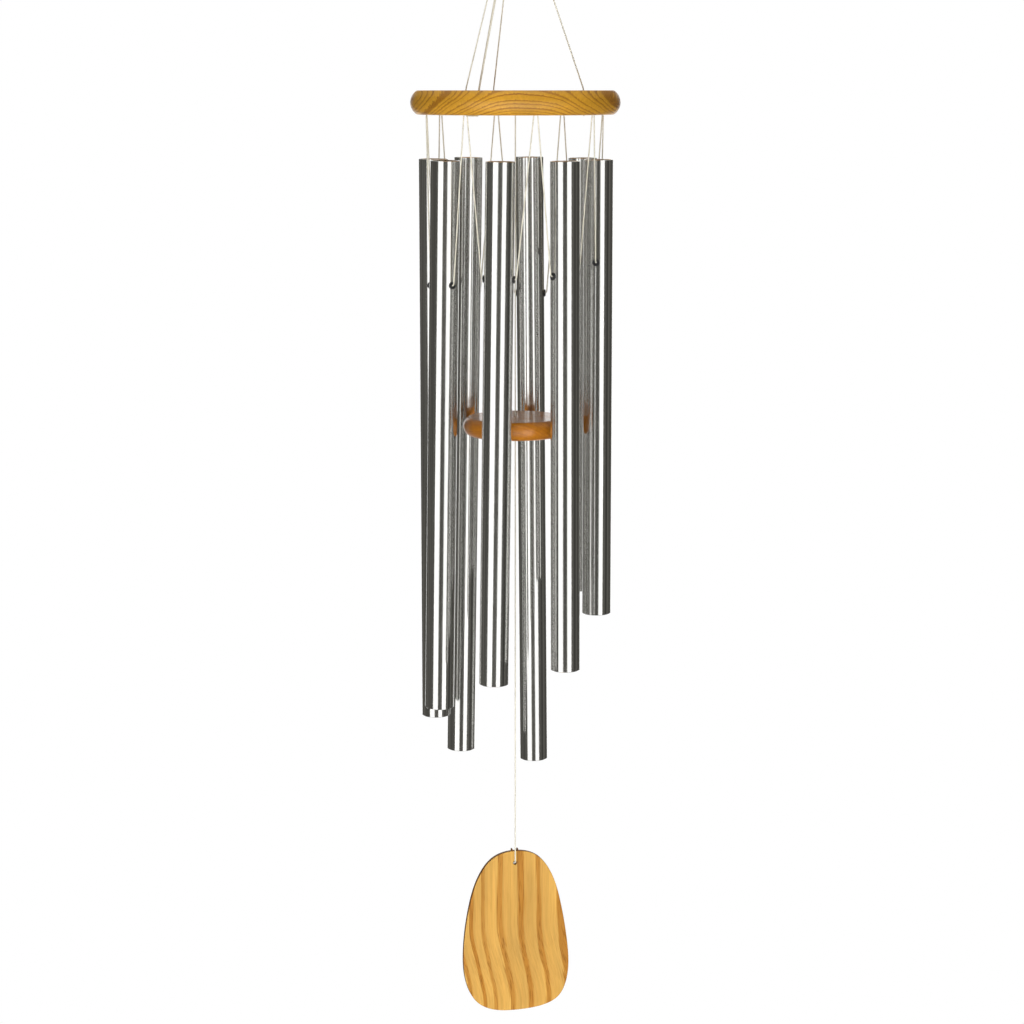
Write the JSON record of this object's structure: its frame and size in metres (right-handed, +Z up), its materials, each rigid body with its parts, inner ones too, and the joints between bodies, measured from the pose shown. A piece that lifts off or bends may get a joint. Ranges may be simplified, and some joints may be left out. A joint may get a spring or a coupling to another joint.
{
  "type": "wind chime",
  "caption": "Hanging wind chime: tuned metal tubes laced under a round wooden disc, with a wooden striker and an egg-shaped wooden sail on a centre cord.",
  "frame": {"origin": "centre of the hang ring's eye, where the user's hook holds it", "axes": "+Z up, -Y to the front, +X to the viewer's right"},
  "size_m": [0.181, 0.181, 1.0328],
  "materials": {
    "steel_ring": "bright plated steel wire",
    "cord": "ivory twisted cord",
    "disc_ash": "honey-brown stained ash, gloss lacquer",
    "striker_ash": "brown stained ash, gloss lacquer",
    "sail_ash": "light honey ash, satin lacquer",
    "tube_aluminium": "polished, clear anodised",
    "grommet_rubber": "matt black"
  },
  "bodies": {
    "hanger": {"hang_ring": "steel_ring"},
    "hitch": {"cord_bights": "cord", "whipping": "cord"},
    "platform": {"suspension_cord_1": "cord", "suspension_cord_2": "cord", "suspension_cord_3": "cord", "top_disc": "disc_ash", "lace_knots": "cord"},
    "lacing_1": {"lace_cord_1": "cord"},
    "chime_1": {"tube_1": "tube_aluminium", "grommets_1": "grommet_rubber"},
    "lacing_2": {"lace_cord_2": "cord"},
    "chime_2": {"tube_2": "tube_aluminium", "grommets_2": "grommet_rubber"},
    "lacing_3": {"lace_cord_3": "cord"},
    "chime_3": {"tube_3": "tube_aluminium", "grommets_3": "grommet_rubber"},
    "lacing_4": {"lace_cord_4": "cord"},
    "chime_4": {"tube_4": "tube_aluminium", "grommets_4": "grommet_rubber"},
    "lacing_5": {"lace_cord_5": "cord"},
    "chime_5": {"tube_5": "tube_aluminium", "grommets_5": "grommet_rubber"},
    "lacing_6": {"lace_cord_6": "cord"},
    "chime_6": {"tube_6": "tube_aluminium", "grommets_6": "grommet_rubber"},
    "lacing_7": {"lace_cord_7": "cord"},
    "chime_7": {"tube_7": "tube_aluminium", "grommets_7": "grommet_rubber"},
    "lacing_8": {"lace_cord_8": "cord"},
    "chime_8": {"tube_8": "tube_aluminium", "grommets_8": "grommet_rubber"},
    "centre_turn": {"centre_knot": "cord"},
    "striker": {"striker_cord": "cord", "striker": "striker_ash"},
    "sail_turn": {"striker_knot": "cord"},
    "sail_line": {"sail_cord": "cord"},
    "sail": {"sail_tie": "cord", "sail": "sail_ash"}
  },
  "joints": [
    {"name": "hanger_swing", "type": "hinge", "parent": "hanger", "child": "hitch", "pos_m": [0, 0, -0.0113], "axis": [1, 0, 0], "range_deg": [-20, 20]},
    {"name": "platform_turn", "type": "hinge", "parent": "hitch", "child": "platform", "pos_m": [0, 0, -0.0209], "axis": [0, 0, 1], "range_deg": [-90, 90]},
    {"name": "lace_swing_1", "type": "hinge", "parent": "platform", "child": "lacing_1", "pos_m": [-0.01259, -0.07142, -0.2065], "axis": [-0.9848, 0.1736, 0], "range_deg": [-1.5, 8]},
    {"name": "tube_rock_1", "type": "hinge", "parent": "lacing_1", "child": "chime_1", "pos_m": [-0.01395, -0.07118, -0.34282], "axis": [-0.9847, 0.1736, 0.014], "range_deg": [-1, 4]},
    {"name": "lace_swing_2", "type": "hinge", "parent": "platform", "child": "lacing_2", "pos_m": [-0.05941, -0.0416, -0.2065], "axis": [-0.5736, 0.8192, 0], "range_deg": [-1.5, 8]},
    {"name": "tube_rock_2", "type": "hinge", "parent": "lacing_2", "child": "chime_2", "pos_m": [-0.06109, -0.0392, -0.34947], "axis": [-0.5734, 0.8188, 0.0279], "range_deg": [-1, 4]},
    {"name": "lace_swing_3", "type": "hinge", "parent": "platform", "child": "lacing_3", "pos_m": [-0.07142, 0.01259, -0.2065], "axis": [0.1736, 0.9848, 0], "range_deg": [-1.5, 8]},
    {"name": "tube_rock_3", "type": "hinge", "parent": "lacing_3", "child": "chime_3", "pos_m": [-0.07142, 0.01259, -0.35356], "axis": [0.1736, 0.9848, 0], "range_deg": [-1, 4]},
    {"name": "lace_swing_4", "type": "hinge", "parent": "platform", "child": "lacing_4", "pos_m": [-0.0416, 0.05941, -0.2065], "axis": [0.8192, 0.5736, 0], "range_deg": [-1.5, 8]},
    {"name": "tube_rock_4", "type": "hinge", "parent": "lacing_4", "child": "chime_4", "pos_m": [-0.04346, 0.0581, -0.36296], "axis": [0.819, 0.5735, -0.0192], "range_deg": [-1, 4]},
    {"name": "lace_swing_5", "type": "hinge", "parent": "platform", "child": "lacing_5", "pos_m": [0.01259, 0.07142, -0.2065], "axis": [0.9848, -0.1736, 0], "range_deg": [-1.5, 8]},
    {"name": "tube_rock_5", "type": "hinge", "parent": "lacing_5", "child": "chime_5", "pos_m": [0.01364, 0.07124, -0.36604], "axis": [0.9848, -0.1736, 0.0087], "range_deg": [-1, 4]},
    {"name": "lace_swing_6", "type": "hinge", "parent": "platform", "child": "lacing_6", "pos_m": [0.05941, 0.0416, -0.2065], "axis": [0.5736, -0.8192, 0], "range_deg": [-1.5, 8]},
    {"name": "tube_rock_6", "type": "hinge", "parent": "lacing_6", "child": "chime_6", "pos_m": [0.05941, 0.0416, -0.32947], "axis": [0.5736, -0.8192, 0], "range_deg": [-1, 4]},
    {"name": "lace_swing_7", "type": "hinge", "parent": "platform", "child": "lacing_7", "pos_m": [0.07142, -0.01259, -0.2065], "axis": [-0.1736, -0.9848, 0], "range_deg": [-1.5, 8]},
    {"name": "tube_rock_7", "type": "hinge", "parent": "lacing_7", "child": "chime_7", "pos_m": [0.07155, -0.01184, -0.33188], "axis": [-0.1736, -0.9848, -0.0087], "range_deg": [-1, 4]},
    {"name": "lace_swing_8", "type": "hinge", "parent": "platform", "child": "lacing_8", "pos_m": [0.0416, -0.05941, -0.2065], "axis": [-0.8192, -0.5736, 0], "range_deg": [-1.5, 8]},
    {"name": "tube_rock_8", "type": "hinge", "parent": "lacing_8", "child": "chime_8", "pos_m": [0.04201, -0.05912, -0.34064], "axis": [-0.8191, -0.5736, -0.0052], "range_deg": [-1, 4]},
    {"name": "striker_turn", "type": "hinge", "parent": "platform", "child": "centre_turn", "pos_m": [0, 0, -0.2065], "axis": [0, 0, 1], "continuous": true},
    {"name": "striker_swing", "type": "hinge", "parent": "centre_turn", "child": "striker", "pos_m": [0, 0, -0.2065], "axis": [0, -1, 0], "range_deg": [0, 2.6]},
    {"name": "sail_turn", "type": "hinge", "parent": "striker", "child": "sail_turn", "pos_m": [0, 0, -0.4853], "axis": [0, 0, 1], "continuous": true},
    {"name": "sail_swing", "type": "hinge", "parent": "sail_turn", "child": "sail_line", "pos_m": [0, 0, -0.48962], "axis": [0.9703, 0.2419, 0], "range_deg": [0, 7]},
    {"name": "sail_flap", "type": "hinge", "parent": "sail_line", "child": "sail", "pos_m": [0, 0, -0.8645], "axis": [0.9703, 0.2419, 0], "range_deg": [-30, 30]}
  ]
}
